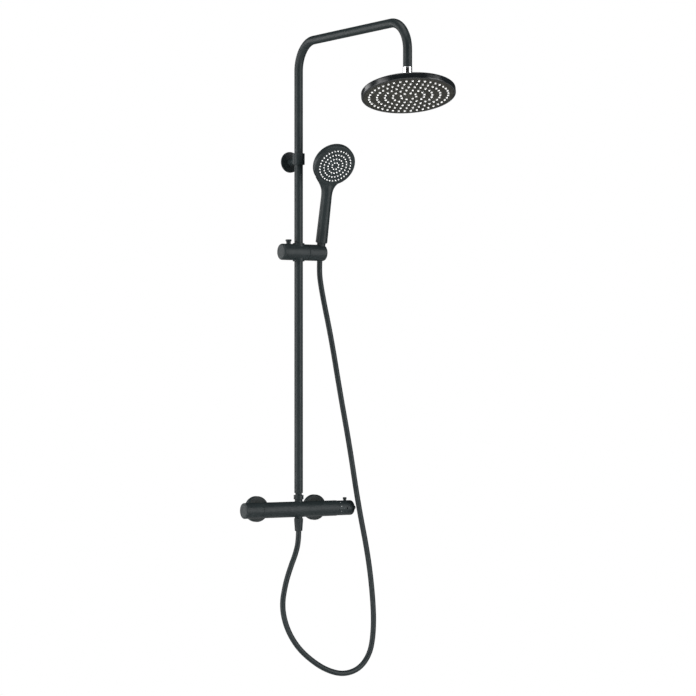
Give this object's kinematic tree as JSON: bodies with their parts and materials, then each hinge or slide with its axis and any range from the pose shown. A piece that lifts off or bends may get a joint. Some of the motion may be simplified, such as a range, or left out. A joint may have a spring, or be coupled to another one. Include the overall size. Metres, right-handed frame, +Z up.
{
  "type": "rainfall shower column",
  "caption": "Wall-mounted thermostatic shower column with a round overhead rain head on a swivel arm, a handset on a sliding holder and a looped hose.",
  "frame": {"origin": "on the wall plane, midway between the two inlet studs, at the height of the valve bar's axis", "axes": "+X to the right along the wall for a person facing it, +Y into the wall, +Z up along the riser"},
  "size_m": [0.3217, 0.6139, 1.409],
  "materials": {
    "satin_black": "satin black coating on brass and steel",
    "black_plastic": "satin black moulded plastic",
    "gloss_black": "glossy black moulded rim and back",
    "spray_face": "dark grey satin spray face",
    "white_silicone": "soft white silicone",
    "chrome": "polished",
    "hose_pvc": "smooth satin black hose cover",
    "brass": "machined",
    "steel": "plain",
    "rubber": "moulded black rubber",
    "white_plastic": "low-friction white plastic"
  },
  "bodies": {
    "column": {"valve_body": "satin_black", "check_valves": "white_plastic", "inlet_union_nut_left": "satin_black", "inlet_union_nut_right": "satin_black", "filter_washers": "rubber", "inlet_connector_left": "brass", "inlet_connector_right": "brass", "inlet_rosette_left": "satin_black", "inlet_rosette_right": "satin_black", "thermostatic_cartridge": "brass", "flow_cartridge": "brass", "cartridge_nuts": "brass", "riser_seal": "rubber", "riser_nut": "satin_black", "lower_riser_tube": "satin_black", "riser_coupling": "brass", "coupling_o_rings": "rubber", "bracket_sleeve": "satin_black", "bracket_stub": "satin_black", "bracket_grub_screw": "steel", "hose_outlet_nut": "satin_black", "hose_outlet_washer": "rubber", "shower_hose": "hose_pvc"},
    "diverter": {"diverter_knob": "satin_black", "diverter_knob_cap": "satin_black", "diverter_spindle": "brass", "diverter_knob_screw": "steel"},
    "temperature": {"temperature_knob": "satin_black", "temperature_spindle": "brass", "temperature_knob_cap": "satin_black", "temperature_knob_screw": "steel", "safety_button_spring": "steel"},
    "safety_button": {"safety_button": "black_plastic"},
    "bracket_cover": {"bracket_rosette": "satin_black"},
    "arm": {"arm_tube": "satin_black", "ball_joint": "chrome"},
    "seat": {"ball_seat": "white_plastic"},
    "rain_head": {"head_face_plate": "spray_face", "head_nozzle_mat": "white_silicone", "head_back_shell": "gloss_black", "head_inlet_washer": "rubber", "ball_retaining_nut": "gloss_black"},
    "slider": {"slider_body": "satin_black", "slider_bush": "white_plastic", "slider_end_cap": "satin_black", "release_spring": "steel", "holder_friction_ring": "white_plastic"},
    "release": {"release_button": "satin_black"},
    "jaw": {"clamp_jaw": "white_plastic"},
    "holder": {"handset_holder": "satin_black"},
    "hose_end": {"hose_cone_nut": "satin_black", "hose_handset_washer": "rubber"},
    "handset": {"handset_body": "black_plastic", "handset_face_plate": "spray_face", "handset_nozzle_mat": "white_silicone", "handset_centre_screw": "black_plastic"}
  },
  "joints": [
    {"name": "diverter_turn", "type": "hinge", "parent": "column", "child": "diverter", "pos_m": [-0.119, -0.061, 0], "axis": [1, 0, 0], "range_deg": [-90, 90]},
    {"name": "temperature_turn", "type": "hinge", "parent": "column", "child": "temperature", "pos_m": [0.117, -0.061, 0], "axis": [1, 0, 0], "range_deg": [-150, 60]},
    {"name": "safety_button_press", "type": "slide", "parent": "temperature", "child": "safety_button", "axis": [0, 0, -1], "range_m": [0, 0.0018], "stiffness_N_per_m": 400, "springref_m": -0.002, "deforming": ["safety_button_spring"]},
    {"name": "bracket_cover_slide", "type": "slide", "parent": "column", "child": "bracket_cover", "axis": [0, 1, 0], "range_m": [0, 0.0224]},
    {"name": "arm_swivel", "type": "hinge", "parent": "column", "child": "arm", "pos_m": [0, -0.061, 0.773], "axis": [0, 0, 1], "range_deg": [-60, 60]},
    {"name": "head_tilt", "type": "hinge", "parent": "arm", "child": "seat", "pos_m": [0, -0.491, 0.903], "axis": [1, 0, 0], "range_deg": [-4, 32]},
    {"name": "head_lean", "type": "hinge", "parent": "seat", "child": "rain_head", "pos_m": [0, -0.491, 0.903], "axis": [0, 1, 0], "range_deg": [-22, 12]},
    {"name": "slider_slide", "type": "slide", "parent": "column", "child": "slider", "axis": [0, 0, 1], "range_m": [-0.42, 0.15], "deforming": ["shower_hose"]},
    {"name": "release_press", "type": "slide", "parent": "slider", "child": "release", "axis": [0, 0, -1], "range_m": [0, 0.004], "stiffness_N_per_m": 500, "springref_m": -0.003, "deforming": ["release_spring"]},
    {"name": "jaw_slide", "type": "slide", "parent": "slider", "child": "jaw", "axis": [-1, 0, 0], "range_m": [0, 0.0012]},
    {"name": "holder_tilt", "type": "hinge", "parent": "slider", "child": "holder", "pos_m": [0.0425, -0.061, 0.567], "axis": [1, 0, 0], "range_deg": [-2, 35]},
    {"name": "handset_lift", "type": "slide", "parent": "holder", "child": "hose_end", "axis": [0, -0.2045, 0.9789], "range_m": [0, 0.026]},
    {"name": "handset_spin", "type": "hinge", "parent": "hose_end", "child": "handset", "pos_m": [0.0563, -0.061, 0.567], "axis": [0, -0.2045, 0.9789], "range_deg": [-60, 60]}
  ],
  "couplings": [
    {"joint": "jaw_slide", "follows": "release_press", "ratio": 0.3}
  ]
}
